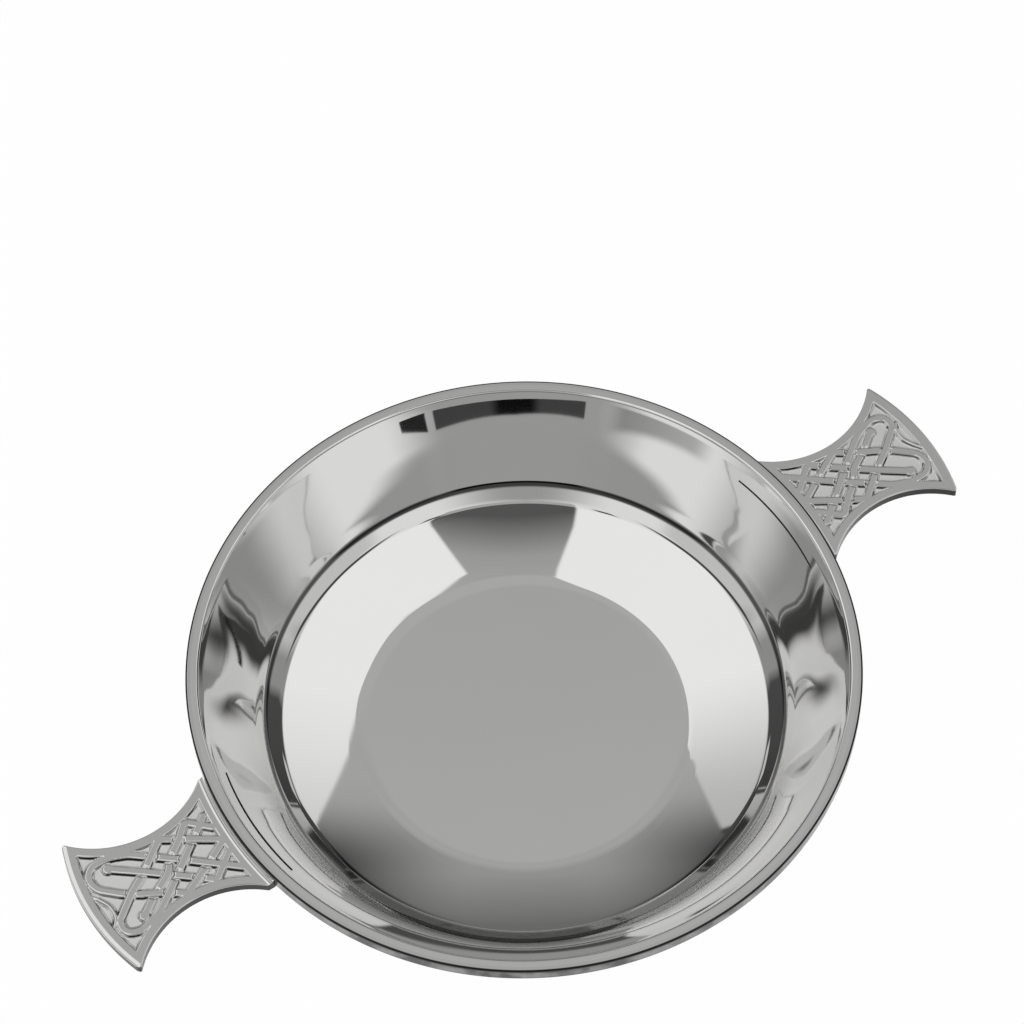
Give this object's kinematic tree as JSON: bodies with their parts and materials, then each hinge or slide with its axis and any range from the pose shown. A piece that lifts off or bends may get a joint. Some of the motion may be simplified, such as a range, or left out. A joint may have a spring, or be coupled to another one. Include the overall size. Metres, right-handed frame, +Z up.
{
  "type": "quaich",
  "caption": "Shallow round drinking bowl with a flat rim, a spreading ring foot and flat waisted lug handles with an interlace panel, for sharing a drink or as a presentation dish.",
  "frame": {"origin": "on the table, under the bowl's axis", "axes": "+X along the lugs, +Z up along the bowl's axis, +Y across"},
  "size_m": [0.168, 0.114, 0.028],
  "materials": {
    "bowl_metal": "mirror polished",
    "lug_metal": "polished casting",
    "solder": "polished with the bowl"
  },
  "bodies": {
    "root": {"bowl": "bowl_metal", "rim_wire": "bowl_metal", "foot_ring": "bowl_metal", "foot_solder": "solder", "left_lug": "lug_metal", "right_lug": "lug_metal", "left_lug_solder": "solder", "right_lug_solder": "solder"}
  },
  "joints": []
}
